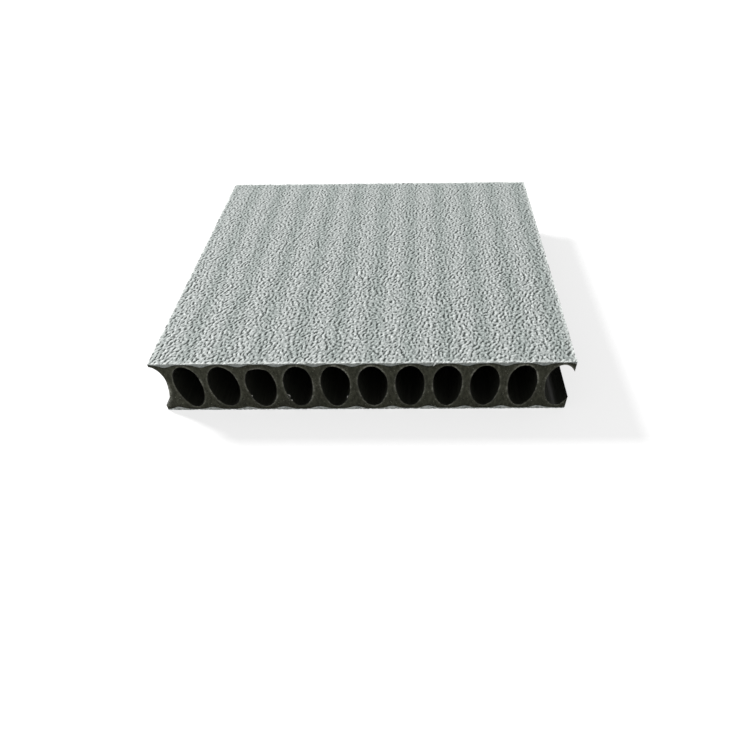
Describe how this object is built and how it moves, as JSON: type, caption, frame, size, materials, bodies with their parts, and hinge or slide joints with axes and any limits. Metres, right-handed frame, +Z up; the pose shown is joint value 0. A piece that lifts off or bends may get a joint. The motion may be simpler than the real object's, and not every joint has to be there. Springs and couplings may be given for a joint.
{
  "type": "plastic formwork panel",
  "caption": "Sawn piece of hollow plastic formwork panel: light grey embossed skins fused to a dark core with oval cells running through it.",
  "frame": {"origin": "middle of the underside, at the centre of the footprint", "axes": "+Z up out of the top skin; +X across the cells towards the side whose cell is sawn open; Y along the cells, the front sawn face at -Y"},
  "size_m": [0.1196, 0.114, 0.018],
  "materials": {
    "core_plastic": "matte, roughened where sawn",
    "skin_plastic": "embossed, low sheen"
  },
  "bodies": {
    "root": {"core_profile": "core_plastic", "top_skin": "skin_plastic", "bottom_skin": "skin_plastic"}
  },
  "joints": []
}
